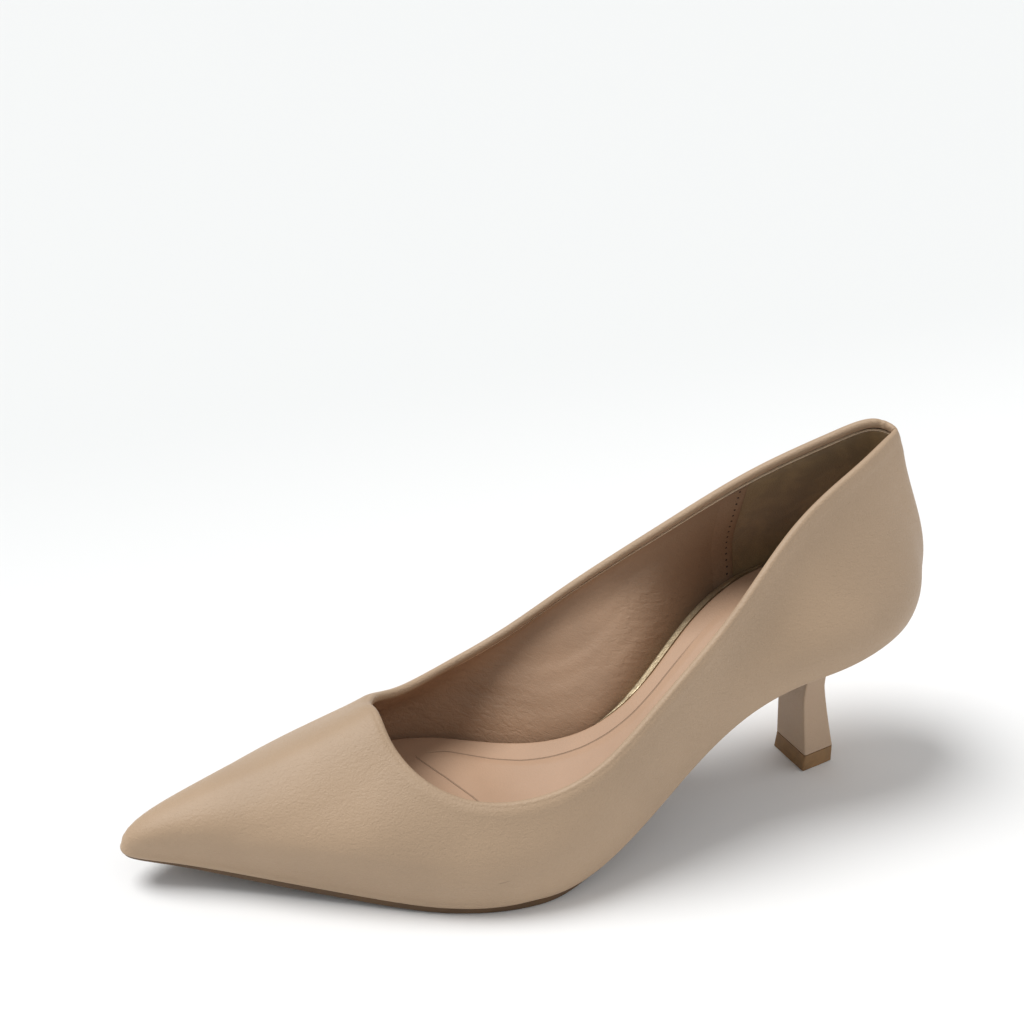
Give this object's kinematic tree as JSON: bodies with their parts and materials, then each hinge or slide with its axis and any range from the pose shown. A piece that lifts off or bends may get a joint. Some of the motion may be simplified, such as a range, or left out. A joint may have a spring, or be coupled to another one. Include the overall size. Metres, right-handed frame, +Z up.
{
  "type": "kitten heel pump",
  "caption": "Left pointed-toe pump with a rolled topline, thin outsole, padded insole sock and a slim low heel that flares under the seat.",
  "frame": {"origin": "middle of the shoe's bounding box, on the floor that the sole and heel stand on", "axes": "+X from the heel to the toe, +Y to the outer side of this left shoe, +Z up"},
  "size_m": [0.249, 0.0838, 0.1126],
  "materials": {
    "upper": "smooth beige leather, half matt",
    "outsole": "dark brown, matt",
    "insole": "board covered in gold leather at its edge",
    "sock": "soft tan leather over foam",
    "heel": "covered in the upper's leather",
    "top_lift": "dark brown, matt"
  },
  "bodies": {
    "root": {"upper": "upper", "outsole": "outsole", "insole": "insole", "sock": "sock", "heel": "heel", "top_lift": "top_lift"}
  },
  "joints": []
}
